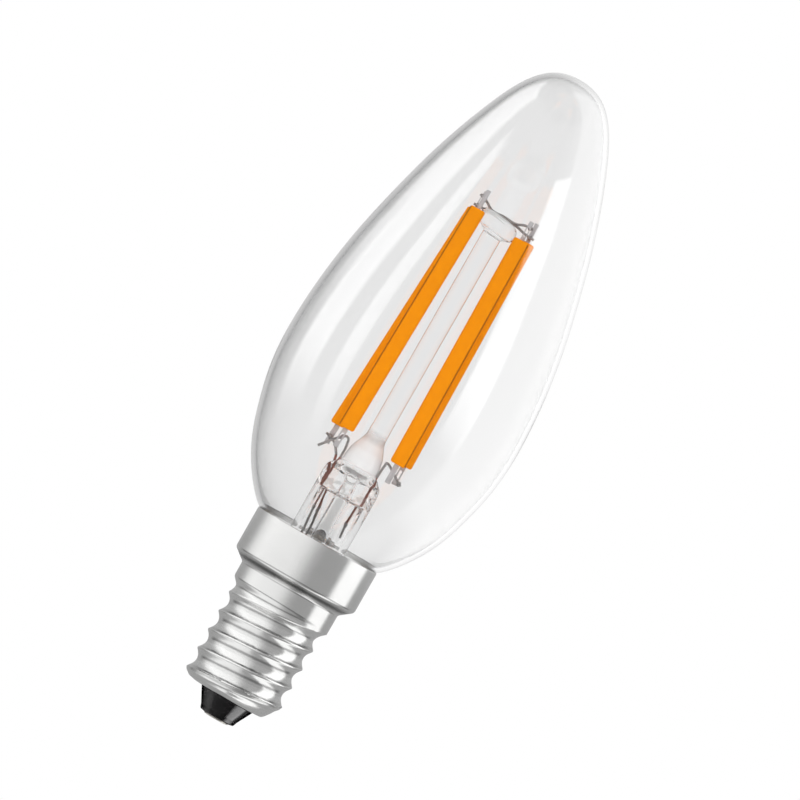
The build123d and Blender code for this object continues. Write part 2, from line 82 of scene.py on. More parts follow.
# Bore of the exhaust tube, and the exhaust hole in the press with the melted rim round it
BORE_DEPTH = 17.4 * MM
BORE_MIDDLE = 28.2 * MM
HOLE_X = -0.14 * MM
HOLE_Y = -1.6 * MM
HOLE_SHAPE = (1.0, 2.6, 0.8)
RIM_Y = -1.72 * MM
RIM_SHAPE = (1.0, 1.0, 0.78)
RIM_RADIUS = 0.2 * MM

# Outline of the rolled cap before its thread is rolled in, lip to collar, in mm: radius, height, rounding
CAP_LIP = (
    (3.97, 3.24, 0.0), (5.05, 3.22, 0.3), (6.0, 3.42, 0.8), (6.7, 3.95, 0.8), (6.95, 4.5, 0.4),
)
CAP_NECK = (
    (6.95, 15.5, 0.9), (7.3, 17.0, 0.9), (7.32, 20.05, 0.5), (9.05, 21.4, 0.8), (9.05, 27.46, 0.2),
    (8.8, 27.46, 0.0),
)
CAP_FACETS = 144
# Below this height in mm the rows of faces are as fine as the thread needs
FINE_BELOW = 19.0

# Lift of the lip: the shares of a turn where it falls off and rises again, from which radius on, and up to
# which height
LIFT_FALL = (0.0, 0.4)
LIFT_RISE = (0.5, 1.0)
LIFT_RADII = (5.0 * MM, 6.6 * MM)
LIFT_HEIGHTS = (4.4 * MM, 7.2 * MM)

# Groove of the thread: the turns between which it starts and ends, the heights where it starts, and in mm
# the height where it runs out, how much lower that is on the last half turn, and how softly it runs out
GROOVE_START = (0.0, 0.3)
GROOVE_END = (4.75, 5.0)
GROOVE_FOOT = (3.5 * MM, 4.4 * MM)
RUN_OUT = 18.2
RUN_OUT_DROP = 0.5
RUN_OUT_TURN = 4.5
RUN_OUT_FADE = 1.4
# Share of the pitch over which a crest is rounded off
CREST_ROUND = 0.04
# Height of the painted shade line in the corner under the collar, how far from it the painted shade fades,
# and where the thread's dents end
SHADE_LINE_LEVEL = 20.75 * MM
SHADE_LINE_FADE = (0.1 * MM, 0.75 * MM)
DENTS_END = (14.5 * MM, 16.5 * MM)

# Outlines of the insulator and of the contact, in mm: radius, height, rounding
INSULATOR_OUTLINE = (
    (0.62, 0.3, 0.0), (1.9, 0.22, 0.4), (2.5, 0.34, 0.3), (2.72, 0.95, 0.4), (3.86, 3.1, 0.2),
    (3.9, 3.55, 0.0), (4.95, 3.55, 0.1), (4.95, 4.58, 0.2), (0.62, 4.58, 0.0),
)
INSULATOR_FACETS = 96
CONTACT_OUTLINE = (
    (0.0, 0.0, 0.0), (1.3, 0.01, 0.5), (1.79, 0.1, 0.08), (1.79, 0.21, 0.04), (0.6, 0.21, 0.0),
    (0.6, 5.19, 0.1), (0.0, 5.19, 0.0),
)
CONTACT_FACETS = 64

# Filaments: foot and top of each coated strip, and which of its two tabs has a slot, in mm
FILAMENTS = {
    "front_left": ((-4.1, -2.8, 42.27), (-3.3, -2.4, 76.26), "lower"),
    "back_left": ((-5.3, 2.8, 42.07), (-3.6, 2.4, 76.02), "upper"),
    "front_right": ((4.2, -2.8, 41.47), (3.8, -2.4, 75.47), "upper"),
    "back_right": ((5.1, 2.8, 41.67), (4.6, 2.4, 75.66), "lower"),
}

# Rounding of the strips, the tabs and the tabs' slots, in mm: the corner of the section, and its scale at
# heights from both ends
STRIP_CORNER = 0.6
STRIP_RIMS = ((0.0, 0.8), (0.08, 0.92), (0.25, 1.0))
TAB_WIDTHS = {"lower": 0.76, "upper": 0.62}
TAB_DEPTH = 0.2
TAB_CORNER = 0.06
TAB_RIMS = ((0.0, 0.94), (0.06, 1.0))
SLOT_WIDTH = 0.36
SLOT_DEPTH = 2.0
SLOT_CORNER = 0.15
SLOT_RIMS = ((0.0, 0.5), (0.15, 1.0))
# Middle and half length of a slot, as shares of the tab
SLOT_MIDDLE = 0.45
SLOT_HALF = 0.22

# Wires: course in mm, slot, and the places of the weld knots on it
WIRES = {
    "seal_wire_front_left": (
        ((-2.95, -0.5, 31.57), (-3.02, -0.5, 33.6), (-2.98, -0.55, 36.6), (-2.85, -0.6, 38.57)),
        "copper_clad_wire", (),
    ),
    "seal_wire_back_left": (
        ((-2.35, 0.6, 31.57), (-2.75, 0.6, 34.0), (-3.2, 0.6, 37.0), (-3.5, 0.6, 38.57)),
        "copper_clad_wire", (),
    ),
    "seal_wire_right": (
        ((2.41, -0.4, 31.57), (2.55, -0.45, 34.0), (2.66, -0.55, 36.8), (2.7, -0.6, 38.57)),
        "copper_clad_wire", (),
    ),
    "inner_lead_front_left": (
        (
            (-2.85, -0.6, 38.57), (-2.9, -0.8, 40.3), (-3.42, -2.2, 41.4), (-3.95, -2.47, 41.1),
            (-6.24, -2.47, 38.5),
        ),
        "nickel_wire", ((-3.95, -2.5, 41.05),),
    ),
    "inner_lead_back_left": (
        ((-3.5, 0.6, 38.57), (-4.2, 1.4, 39.52), (-5.2, 2.42, 40.22), (-6.12, 2.47, 40.46)),
        "nickel_wire", ((-5.35, 2.5, 40.27),),
    ),
    "inner_lead_right": (
        (
            (2.7, -0.6, 38.57), (2.82, -0.8, 40.3), (3.1, -2.3, 40.95), (3.6, -2.465, 40.7),
            (5.55, -2.465, 39.4), (5.78, -1.9, 39.27), (5.78, 2.8, 39.27),
        ),
        "nickel_wire", ((4.25, -2.5, 40.25), (5.7, 2.6, 39.27)),
    ),
    "top_wire_front": (
        (
            (-4.0, -2.03, 78.1), (-2.87, -2.03, 77.66), (-1.4, -0.84, 76.95), (0.2, -0.84, 77.05),
            (1.867, -0.84, 76.95), (3.38, -2.03, 77.42), (4.4, -2.03, 77.4),
        ),
        "nickel_wire", ((-3.1, -2.2, 77.72), (3.95, -2.2, 77.42)),
    ),
    "top_wire_back": (
        (
            (-4.2, 2.04, 76.66), (-3.17, 2.04, 76.66), (-1.4, 0.84, 76.88), (0.2, 0.84, 76.9),
            (1.867, 0.84, 76.85), (4.19, 2.04, 76.4), (5.2, 2.04, 76.36),
        ),
        "nickel_wire", ((-3.6, 2.2, 76.66), (4.6, 2.2, 76.38)),
    ),
    "outer_lead_front_left": (
        ((-2.95, -0.5, 31.57), (-2.45, -0.5, 27.57), (-1.6, 0.65, 18.5), (-1.6, 0.65, 15.62)),
        "nickel_wire", ((-2.93, -0.5, 31.3),),
    ),
    "outer_lead_back_left": (
        ((-2.35, 0.6, 31.57), (-1.9, 0.6, 27.57), (-3.15, 0.65, 18.5), (-3.18, 0.65, 15.62)),
        "nickel_wire", ((-2.33, 0.6, 31.3),),
    ),
    "outer_lead_right": (
        ((2.41, -0.4, 31.57), (2.5, -0.4, 30.4), (2.6, -0.4, 29.3)),
        "nickel_wire", ((2.42, -0.4, 31.3),),
    ),
}
KNOT_SHAPE = (0.85, 0.85, 1.2)


def linear(code):
    """Turn an sRGB hex colour such as C9C6C0 into linear RGBA."""
    channels = []
    for place in (0, 2, 4):
        value = int(code[place:place + 2], 16) / 255
        channels.append(value / 12.92 if value <= 0.04045 else ((value + 0.055) / 1.055) ** 2.4)
    return (*channels, 1.0)


def add_node(tree, kind, values=None, links=None, **settings):
    """Add one node, set its properties and sockets, and link outputs of other nodes into it."""
    node = tree.nodes.new(kind)
    for name, value in settings.items():
        setattr(node, name, value)
    for socket, value in (values or {}).items():
        node.inputs[socket].default_value = value
    for socket, source in (links or {}).items():
        tree.links.new(source, node.inputs[socket])
    return node


def maths(tree, operation, *terms):
    """One maths node on numbers and outputs of other nodes. Returns its value."""
    values = {index: term for index, term in enumerate(terms) if isinstance(term, (int, float))}
    links = {index: term for index, term in enumerate(terms) if index not in values}
    return add_node(tree, "ShaderNodeMath", values, links, operation=operation).outputs[0]


def spread(tree, value, low, high, first=0.0, last=1.0):
    """Map a value from low and high to first and last, held at both ends. Returns the result."""
    limits = {"From Min": low, "From Max": high, "To Min": first, "To Max": last}
    return add_node(tree, "ShaderNodeMapRange", limits, {"Value": value}).outputs["Result"]


def mottle(tree, place, grain, detail, roughness=0.5):
    """A noise whose grain is in mm. Returns its share."""
    values = {"Scale": 1 / (grain * MM), "Detail": detail, "Roughness": roughness}
    return add_node(tree, "ShaderNodeTexNoise", values, {"Vector": place}).outputs["Fac"]


def stretched(tree, place, scale):
    """Coordinates scaled along each axis."""
    return add_node(tree, "ShaderNodeMapping", {"Scale": scale}, {"Vector": place}).outputs["Vector"]


def blend(tree, share, first, second):
    """Mix two colours, hex codes or outputs of other nodes. Returns the colour."""
    ends = {6: first, 7: second}
    values = {socket: linear(end) for socket, end in ends.items() if isinstance(end, str)}
    links = {socket: end for socket, end in ends.items() if socket not in values}
    return add_node(tree, "ShaderNodeMix", values, {0: share, **links}, data_type="RGBA").outputs[2]


def bumps(tree, height, depth):
    """Relief from a share of a depth in mm. Returns the normal."""
    values = {"Strength": 1.0, "Distance": depth * MM}
    return add_node(tree, "ShaderNodeBump", values, {"Height": height}).outputs["Normal"]


def split(tree, vector):
    """The X, Y and Z of a vector."""
    return add_node(tree, "ShaderNodeSeparateXYZ", None, {"Vector": vector}).outputs


def start_material(name):
    """Make an empty node material. Returns it, its tree and its object coordinates."""
    material = bpy.data.materials.new(name)
    material.use_nodes = True
    tree = material.node_tree
    tree.nodes.clear()
    place = add_node(tree, "ShaderNodeTexCoord").outputs["Object"]
    return material, tree, place


def end_material(tree, constants, links):
    """Close a material with the one principled shader and its output."""
    shader = add_node(tree, "ShaderNodeBsdfPrincipled", constants, links)
    add_node(tree, "ShaderNodeOutputMaterial", None, {"Surface": shader.outputs["BSDF"]})


def drifting(name, dark, pale, grain, rough, bump, constants, stretch=(1.0, 1.0, 1.0)):
    """A surface whose colour, gloss and relief drift with a noise. Grain and bump height are in mm."""
    material, tree, place = start_material(name)
    noise = mottle(tree, stretched(tree, place, stretch), grain, 4.0, 0.55)
    colour = blend(tree, noise, dark, pale)
    gloss = spread(tree, noise, 0.25, 0.75, *rough)
    relief = bumps(tree, noise, bump)
    end_material(tree, constants, {"Base Color": colour, "Roughness": gloss, "Normal": relief})
    return material


def phosphor_silicone(name):
    """Phosphor in silicone: deep orange, half matt, a little lumpy, with painted shade in dark brown on the
    front strips' outer edges.
    """
    material, tree, place = start_material(name)
    noise = mottle(tree, place, 0.9, 3.0)
    coat = blend(tree, noise, "F69000", "FF9C00")
    at = split(tree, place)
    face = split(tree, add_node(tree, "ShaderNodeNewGeometry").outputs["Normal"])
    # Painted shade: faces on the outward side of each front strip turn dark brown, standing in for the shade
    # between front and back strips
    outward = maths(tree, "MULTIPLY", face["X"], maths(tree, "SIGN", at["X"]))
    front = maths(tree, "LESS_THAN", at["Y"], 0.0)
    painted_edge_shade = maths(tree, "MULTIPLY", spread(tree, outward, 0.6, 0.9), front)
    colour = blend(tree, painted_edge_shade, coat, "A2590A")
    gloss = spread(tree, noise, 0.0, 1.0, 0.45, 0.6)
    relief = bumps(tree, noise, 0.02)
    constants = {"Specular IOR Level": 0.04}
    end_material(tree, constants, {"Base Color": colour, "Roughness": gloss, "Normal": relief})
    return material


def between(tree, level, heights, amount):
    """A share that rises to an amount and falls again, at four heights in mm: foot, full, full, top."""
    foot, low, high, top = [height * MM for height in heights]
    rise = spread(tree, level, foot, low, 0.0, amount)
    fall = spread(tree, level, top, high)
    return maths(tree, "MULTIPLY", rise, fall)


def clear_glass(name, tint, grain, bump, melted=None, pressed=None):
    """Clear soda-lime glass: see-through, a little grey, with the soft waves that blowing or pressing leaves.

    Melted gives the heights of a milky stretch where two pieces were fused, and pressed those of one that
    jaws left uneven.
    """
    material, tree, place = start_material(name)
    links = {"Normal": bumps(tree, mottle(tree, place, grain, 1.0), bump)}
    level = split(tree, place)["Z"]
    if pressed:
        lumps = mottle(tree, place, 1.1, 1.0)
        strength = between(tree, level, pressed, 1.0)
        uneven = {"Strength": strength, "Height": lumps, "Normal": links["Normal"]}
        links["Normal"] = add_node(tree, "ShaderNodeBump", {"Distance": 0.16 * MM}, uneven).outputs["Normal"]
    if melted:
        milky = between(tree, level, melted, 0.95)
        links["Transmission Weight"] = maths(tree, "SUBTRACT", 1.0, milky)
    constants = {"Base Color": linear(tint), "Roughness": 0.0, "IOR": 1.5, "Transmission Weight": 1.0}
    end_material(tree, constants, links)
    return material


def rolled_nickel(name):
    """Nickel-plated brass sheet: a pale, soft mirror, with fine lines round it from the rolling.

    The thread has small dents, and the corner under the collar has a painted shade line: the colour darkens
    to grey where shade falls.
    """
    material, tree, place = start_material(name)
    level = split(tree, place)["Z"]
    lines = mottle(tree, stretched(tree, place, (0.06, 0.06, 1.0)), 0.35, 3.0, 0.6)
    plate = blend(tree, mottle(tree, place, 5.0, 3.0), "DADAD9", "E4E4E3")
    # Painted shade: the base colour turns dark grey near the corner under the collar, strongest at its height
    # and fading away from it
    away = maths(tree, "ABSOLUTE", maths(tree, "SUBTRACT", level, SHADE_LINE_LEVEL))
    corner = maths(tree, "POWER", spread(tree, away, *SHADE_LINE_FADE, 1.0, 0.0), 2.0)
    colour = blend(tree, corner, plate, "6E6E6D")
    gloss = spread(tree, lines, 0.3, 0.7, 0.12, 0.19)
    dents = mottle(tree, stretched(tree, place, (0.45, 0.45, 1.0)), 0.55, 2.0, 0.7)
    threaded = spread(tree, level, *DENTS_END, 1.0, 0.0)
    dents = maths(tree, "MULTIPLY", dents, threaded)
    relief = bumps(tree, maths(tree, "MULTIPLY_ADD", lines, 0.12, dents), 0.018)
    end_material(tree, {"Metallic": 1.0}, {"Base Color": colour, "Roughness": gloss, "Normal": relief})
    return material


def make_materials():
    """All materials by their slot."""
    metal = {"Metallic": 1.0}
    dull = {"Metallic": 0.15, "Specular IOR Level": 0.3}
    melted = (38.2, 38.8, 42.0, 44.0)
    pressed = (33.4, 34.4, 37.8, 38.8)
    along = (1.0, 1.0, 0.1)
    return {
        "clear_glass": clear_glass("soda_lime_glass", "F9F9F9", 9.0, 0.01),
        "stem_glass": clear_glass("pressed_stem_glass", "FDFDFD", 2.5, 0.015, melted, pressed),
        "nickel_plate": rolled_nickel("nickel_plated_brass"),
        # Plated contact, worn by sliding: dull grey metal with cloudy scratches
        "contact_nickel": drifting("worn_nickel", "9D9A94", "C4C0B8", 0.6, (0.22, 0.4), 0.01, metal),
        # Black vitrite: glossy, nearly black glass with faint brown clouds
        "black_insulator": drifting(
            "black_vitrite", "060607", "121011", 1.5, (0.06, 0.14), 0.015, {"IOR": 1.55}
        ),
        "phosphor_coat": phosphor_silicone("phosphor_silicone"),
        # Bare steel of the tabs: grey, brushed along the strip
        "tab_steel": drifting("bare_steel", "BCB8B9", "D8D4D5", 0.3, (0.3, 0.45), 0.005, dull, along),
        # Nickel wire: dull silver with cloudy drawing marks
        "nickel_wire": drifting("drawn_nickel_wire", "8E8988", "B6B1AF", 0.4, (0.3, 0.45), 0.005, dull),
        # Copper-clad wire sealed in glass: red-brown with darker oxide
        "copper_clad_wire": drifting("copper_clad_wire", "86564C", "BE8C7F", 0.8, (0.3, 0.45), 0.01, dull),
        # Basing cement: sandy, matt, grainy
        "basing_cement": drifting("basing_cement", "A89B80", "CFC4AC", 0.5, (0.8, 0.95), 0.06, {}),
        # Circuit board: green lacquer over woven glass
        "circuit_board": drifting("lacquered_board", "1E4A2C", "2C6A40", 0.4, (0.3, 0.45), 0.01, {}),
        # Moulded epoxy of the chips: matt charcoal
        "chip_mould": drifting("epoxy_mould", "161618", "26262A", 0.2, (0.55, 0.7), 0.01, {}),
        # Capacitor can: satin aluminium
        "capacitor_can": drifting("satin_aluminium", "9EA0A2", "C2C4C6", 0.4, (0.3, 0.42), 0.005, metal),
        # Lacquer of the fuse resistor: pale green-grey enamel
        "resistor_coat": drifting("resistor_lacquer", "6E8A80", "8FA99E", 0.5, (0.3, 0.4), 0.01, {}),
    }


def select_only(piece):
    """Make one object the only selected and active one."""
    bpy.ops.object.select_all(action="DESELECT")
    piece.select_set(True)
    bpy.context.view_layer.objects.active = piece


def rename(piece, name):
    """Give the object and its data one name."""
    piece.name = name
    piece.data.name = name


def rounded(corners):
    """Replace each (radius, height, rounding) corner by an arc. Returns (radius, height) pairs."""
    steps = 6
    # An arc takes at most this share of a side
    most = 0.48
    points = []
    for index, (r, z, fillet) in enumerate(corners):
        here = Vector((r, z))
        if fillet == 0.0 or index in (0, len(corners) - 1):
            points.append(here)
            continue
        back = Vector(corners[index - 1][:2]) - here
        ahead = Vector(corners[index + 1][:2]) - here
        half = back.angle(ahead) / 2
        reach = min(fillet / math.tan(half), most * back.length, most * ahead.length)
        start = here + back.normalized() * reach
        end = here + ahead.normalized() * reach
        for step in range(steps + 1):
            t = step / steps
            points.append(start * (1 - t) ** 2 + here * (2 * t * (1 - t)) + end * t ** 2)
    return [(point.x, point.y) for point in points]


def draw_outline(name, points):
    """Draw an open outline in the XZ plane, one extruded vertex after another. Points are in mm."""
    bpy.ops.mesh.primitive_plane_add(size=MM)
    piece = bpy.context.object
    rename(piece, name)
    bpy.ops.object.mode_set(mode="EDIT")
    bpy.ops.mesh.merge(type="CENTER")
    bpy.ops.transform.translate(value=(points[0][0] * MM, 0, points[0][1] * MM))
    for start, end in zip(points, points[1:]):
        step = ((end[0] - start[0]) * MM, 0, (end[1] - start[1]) * MM)
        bpy.ops.mesh.extrude_vertices_move(TRANSFORM_OT_translate={"value": step})
    bpy.ops.object.mode_set(mode="OBJECT")
    return piece


def draw_curve_outline(name, points, resolution):
    """Draw a smooth open outline in the XZ plane as a path near control points in mm, made a mesh."""
    bpy.ops.curve.primitive_nurbs_path_add()
    piece = bpy.context.object
    rename(piece, name)
    spline = piece.data.splines[0]
    spline.points.add(len(points) - len(spline.points))
    for knot, (r, z) in zip(spline.points, points):
        knot.co = (r * MM, 0, z * MM, 1)
    spline.order_u = 4
    spline.use_endpoint_u = True
    spline.resolution_u = resolution
    bpy.ops.object.convert(target="MESH")
    piece = bpy.context.object
    rename(piece, name)
    return piece


def spin_round(piece, steps):
    """Turn an outline once round the axis, close its seam and poles, and face it outwards."""
    select_only(piece)
    bpy.ops.object.mode_set(mode="EDIT")
    bpy.ops.mesh.select_all(action="SELECT")
    bpy.ops.mesh.spin(steps=steps, angle=math.tau, center=(0, 0, 0), axis=(0, 0, 1))
    bpy.ops.mesh.select_all(action="SELECT")
    bpy.ops.mesh.remove_doubles(threshold=MERGE)
    bpy.ops.mesh.normals_make_consistent(inside=False)
    bpy.ops.object.mode_set(mode="OBJECT")


def thicken(piece, wall):
    """Give a turned skin its wall, inwards."""
    select_only(piece)
    solid = piece.modifiers.new("wall", "SOLIDIFY")
    solid.thickness = wall
    solid.offset = -1.0
    solid.use_even_offset = True
    bpy.ops.object.modifier_apply(modifier=solid.name)


def cut_away(piece, cutter):
    """Subtract one object from another and delete it."""
    select_only(piece)
    cut = piece.modifiers.new("cut", "BOOLEAN")
    cut.operation = "DIFFERENCE"
    cut.object = cutter
    bpy.ops.object.modifier_apply(modifier=cut.name)
    select_only(cutter)
    bpy.ops.object.delete()


def join_in(piece, others):
    """Join other objects into one piece."""
    select_only(piece)
    for other in others:
        other.select_set(True)
    bpy.ops.object.join()


def draw_bar(name, foot, top, width, depth, corner, rims):
    """Extrude a rounded section from foot to top. Rims are (height, scale) steps at both ends, in mm."""
    bpy.ops.mesh.primitive_plane_add(size=MM)
    piece = bpy.context.object
    rename(piece, name)
    start = Vector(foot) * MM
    course = Vector(top) * MM - start
    length = course.length
    stops = [(height * MM / length, scale) for height, scale in rims]
    stops += [(1 - part, scale) for part, scale in reversed(stops)]
    bpy.ops.object.mode_set(mode="EDIT")
    bpy.ops.transform.resize(value=(width, depth, 1), center_override=(0, 0, 0))
    bpy.ops.mesh.bevel(offset=corner * MM, segments=4, affect="VERTICES")
    bpy.ops.transform.translate(value=start)
    first = stops[0][1]
    bpy.ops.transform.resize(value=(first, first, 1), center_override=start)
    for (part, scale), (next_part, next_scale) in zip(stops, stops[1:]):
        move = course * (next_part - part)
        bpy.ops.mesh.extrude_region_move(TRANSFORM_OT_translate={"value": move})
        middle = start + course * next_part
        grow = next_scale / scale
        bpy.ops.transform.resize(value=(grow, grow, 1), center_override=middle)
    bpy.ops.mesh.select_all(action="SELECT")
    bpy.ops.mesh.normals_make_consistent(inside=False)
    bpy.ops.object.mode_set(mode="OBJECT")
    return piece


def bend_wire(name, course, thickness):
    """Lay a round wire along a smooth course in mm."""
    bpy.ops.curve.primitive_bezier_curve_add()
    piece = bpy.context.object
    curve = piece.data
    spline = curve.splines[0]
    spline.bezier_points.add(len(course) - len(spline.bezier_points))
    for knot, place in zip(spline.bezier_points, course):
        knot.co = Vector(place) * MM
        knot.handle_left_type = "AUTO"
        knot.handle_right_type = "AUTO"
    curve.dimensions = "3D"
    curve.resolution_u = 8
    curve.bevel_depth = thickness / 2
    curve.bevel_resolution = 2
    curve.use_fill_caps = True
    bpy.ops.object.convert(target="MESH")
    piece = bpy.context.object
    rename(piece, name)
    bpy.ops.object.mode_set(mode="EDIT")
    bpy.ops.mesh.select_all(action="SELECT")
    bpy.ops.mesh.remove_doubles(threshold=MERGE)
    bpy.ops.mesh.normals_make_consistent(inside=False)
    bpy.ops.object.mode_set(mode="OBJECT")
    return piece


def place_mesh(move, scale=None, turn=None):
    """Turn about X, scale and move the mesh of the primitive just added. Returns its object."""
    bpy.ops.object.mode_set(mode="EDIT")
    if turn is not None:
        bpy.ops.transform.rotate(value=turn, orient_axis="X", center_override=(0, 0, 0))
    if scale is not None:
        bpy.ops.transform.resize(value=scale, center_override=(0, 0, 0))
    bpy.ops.transform.translate(value=move)
    bpy.ops.object.mode_set(mode="OBJECT")
    return bpy.context.object


def add_knot(place, radius):
    """A weld bead at a place in mm, taller than wide."""
    bpy.ops.mesh.primitive_uv_sphere_add(segments=14, ring_count=8, radius=radius)
    return place_mesh(Vector(place) * MM, KNOT_SHAPE)


def hand_over(piece, material, nodes):
    """Shade a finished piece, give it its material, and put it on the frame for its CAD nodes."""
    select_only(piece)
    bpy.ops.object.shade_smooth_by_angle(angle=SMOOTH_ANGLE)
    piece.data.materials.clear()
    piece.data.materials.append(material)
    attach(piece, "root")
    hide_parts(*nodes)


def smooth_step(low, high, value):
    """0 below low, 1 above high, smooth between."""
    part = min(max((value - low) / (high - low), 0.0), 1.0)
    return part * part * (3 - 2 * part)


def rise_and_fall(stops, value):
    """0 outside four stops, 1 between the middle two, smooth between."""
    foot, low, high, top = stops
    return smooth_step(foot, low, value) * (1 - smooth_step(high, top, value))


def lip_lift(turn, radius, height):
    """Share of the lip's lift at a place on the cap: all of it where the thread starts, at turn 0."""
    lift = smooth_step(*LIFT_RISE, turn) if turn > LIFT_RISE[0] else 1 - smooth_step(*LIFT_FALL, turn)
    return lift * (smooth_step(*LIFT_RADII, radius) * (1 - smooth_step(*LIFT_HEIGHTS, height)))


def groove_share(along, height):
    """How much of the thread's groove there is, at so many turns along it and at a height on the cap."""
    reach = RUN_OUT - RUN_OUT_DROP * min(max(2 * (along - RUN_OUT_TURN), 0.0), 1.0)
    share = 1 - smooth_step((reach - RUN_OUT_FADE) * MM, reach * MM, height)
    share *= 1 - smooth_step(*GROOVE_END, along)
    share *= smooth_step(*GROOVE_START, along)
    return share * smooth_step(*GROOVE_FOOT, height)


MATERIALS = {}


class GlassSizes(bpy.types.PropertyGroup):
    """Sizes of the blown envelope"""

    wall: bpy.props.FloatProperty(
        name="Wall", description="Thickness of the blown glass",
        default=0.65 * MM, unit="LENGTH", subtype="DISTANCE",
    )
    segments: bpy.props.IntProperty(
        name="Segments", description="Facets round the envelope",
        default=128, subtype="UNSIGNED",
    )


class StemSizes(bpy.types.PropertyGroup):
    """Sizes of the pressed stem"""

    press: bpy.props.FloatProperty(
        name="Press", description="Depth left where the stem is pressed flat",
        default=0.45, subtype="FACTOR",
    )
    bore: bpy.props.FloatProperty(
        name="Bore", description="Radius of the exhaust tube's bore",
        default=0.95 * MM, unit="LENGTH", subtype="DISTANCE",
    )
    hole: bpy.props.FloatProperty(
        name="Hole", description="Half width of the exhaust hole",
        default=0.93 * MM, unit="LENGTH", subtype="DISTANCE",
    )
    hole_level: bpy.props.FloatProperty(
        name="Hole level", description="Height of the exhaust hole",
        default=36.9 * MM, unit="LENGTH", subtype="DISTANCE",
    )
    sag: bpy.props.FloatProperty(
        name="Sag", description="Lean of the melted button to the right",
        default=math.radians(8), unit="ROTATION", subtype="ANGLE",
    )


class CapSizes(bpy.types.PropertyGroup):
    """Sizes of the rolled cap"""

    pitch: bpy.props.FloatProperty(
        name="Pitch", description="Rise of the thread in one turn",
        default=2.822 * MM, unit="LENGTH", subtype="DISTANCE",
    )
    depth: bpy.props.FloatProperty(
        name="Depth", description="Depth of the rolled groove",
        default=0.8 * MM, unit="LENGTH", subtype="DISTANCE",
    )
    first_crest: bpy.props.FloatProperty(
        name="First crest", description="Height of a crest at +X",
        default=2.95 * MM, unit="LENGTH", subtype="DISTANCE",
    )
    roundness: bpy.props.FloatProperty(
        name="Roundness", description="Form of the groove: 1 is a V, 2 is round",
        default=2.0, subtype="NONE",
    )
    lift: bpy.props.FloatProperty(
        name="Lift", description="How far the lip rises where the thread starts",
        default=1.2 * MM, unit="LENGTH", subtype="DISTANCE",
    )
    sheet: bpy.props.FloatProperty(
        name="Sheet", description="Thickness of the sheet",
        default=0.3 * MM, unit="LENGTH", subtype="DISTANCE",
    )
    ring: bpy.props.FloatProperty(
        name="Ring step", description="Height of one row of faces on the thread",
        default=0.08 * MM, unit="LENGTH", subtype="DISTANCE",
    )


class FilamentSizes(bpy.types.PropertyGroup):
    """Sizes of the coated strips and their tabs"""

    width: bpy.props.FloatProperty(
        name="Width", description="Width of a coated strip",
        default=2.2 * MM, unit="LENGTH", subtype="DISTANCE",
    )
    depth: bpy.props.FloatProperty(
        name="Depth", description="Depth of a coated strip",
        default=1.4 * MM, unit="LENGTH", subtype="DISTANCE",
    )
    tab: bpy.props.FloatProperty(
        name="Tab", description="Length of a metal tab",
        default=2.8 * MM, unit="LENGTH", subtype="DISTANCE",
    )


class WireSizes(bpy.types.PropertyGroup):
    """Sizes of the wires"""

    thickness: bpy.props.FloatProperty(
        name="Thickness", description="Thickness of a wire",
        default=0.36 * MM, unit="LENGTH", subtype="DISTANCE",
    )
    knot: bpy.props.FloatProperty(
        name="Knot", description="Radius of a weld knot",
        default=0.33 * MM, unit="LENGTH", subtype="DISTANCE",
    )


class StageSettings(bpy.types.PropertyGroup):
    """Place and frame of the camera"""

    distance: bpy.props.FloatProperty(
        name="Distance", description="From the camera to the bulb",
        default=1.5, unit="LENGTH", subtype="DISTANCE",
    )
    roll: bpy.props.FloatProperty(
        name="Roll", description="Roll of the camera, so that the bulb leans",
        default=math.radians(29.75), unit="ROTATION", subtype="ANGLE",
    )
    frame_width: bpy.props.FloatProperty(
        name="Frame width", description="Width of the picture at the bulb",
        default=0.10648, unit="LENGTH", subtype="DISTANCE",
    )


class BULB_OT_glass(bpy.types.Operator):
    """Blow the clear envelope: spin its outline and give it a wall"""

    bl_idname = "bulb.glass"
    bl_label = "Glass envelope"

    def execute(self, context):
        sizes = context.scene.bulb_glass
        piece = draw_curve_outline("glass_bulb", GLASS_OUTLINE, CURVE_STEPS)
        spin_round(piece, sizes.segments)
        thicken(piece, sizes.wall)
        hand_over(piece, MATERIALS["clear_glass"], ["glass_envelope"])
        return {"FINISHED"}


class BULB_OT_stem(bpy.types.Operator):
    """Turn the stem, press it flat below the pillar, let the button sag, and bore the tube and the hole"""

    bl_idname = "bulb.stem"
    bl_label = "Pressed stem"

    def execute(self, context):
        sizes = context.scene.bulb_stem
        piece = draw_outline("stem_glass", rounded(STEM_OUTLINE))
        spin_round(piece, STEM_FACETS)
        for vertex in piece.data.vertices:
            level = vertex.co.z / MM
            vertex.co.y *= 1 - (1 - sizes.press) * rise_and_fall(PRESSED, level)
            vertex.co.z -= vertex.co.x * math.tan(sizes.sag) * rise_and_fall(SAGGING, level)
        bpy.ops.mesh.primitive_cylinder_add(vertices=32, radius=sizes.bore, depth=BORE_DEPTH)
        cut_away(piece, place_mesh((0, 0, BORE_MIDDLE)))
        bpy.ops.mesh.primitive_uv_sphere_add(segments=32, ring_count=20, radius=sizes.hole)
        cut_away(piece, place_mesh((HOLE_X, HOLE_Y, sizes.hole_level), HOLE_SHAPE))
        bpy.ops.mesh.primitive_torus_add(
            major_radius=sizes.hole, minor_radius=RIM_RADIUS, major_segments=48, minor_segments=12
        )
        rim = place_mesh((HOLE_X, RIM_Y, sizes.hole_level), RIM_SHAPE, math.pi / 2)
        join_in(piece, [rim])
        nodes = ["stem_flare", "exhaust_tube", "glass_pillar"]
        hand_over(piece, MATERIALS["stem_glass"], nodes)
        return {"FINISHED"}


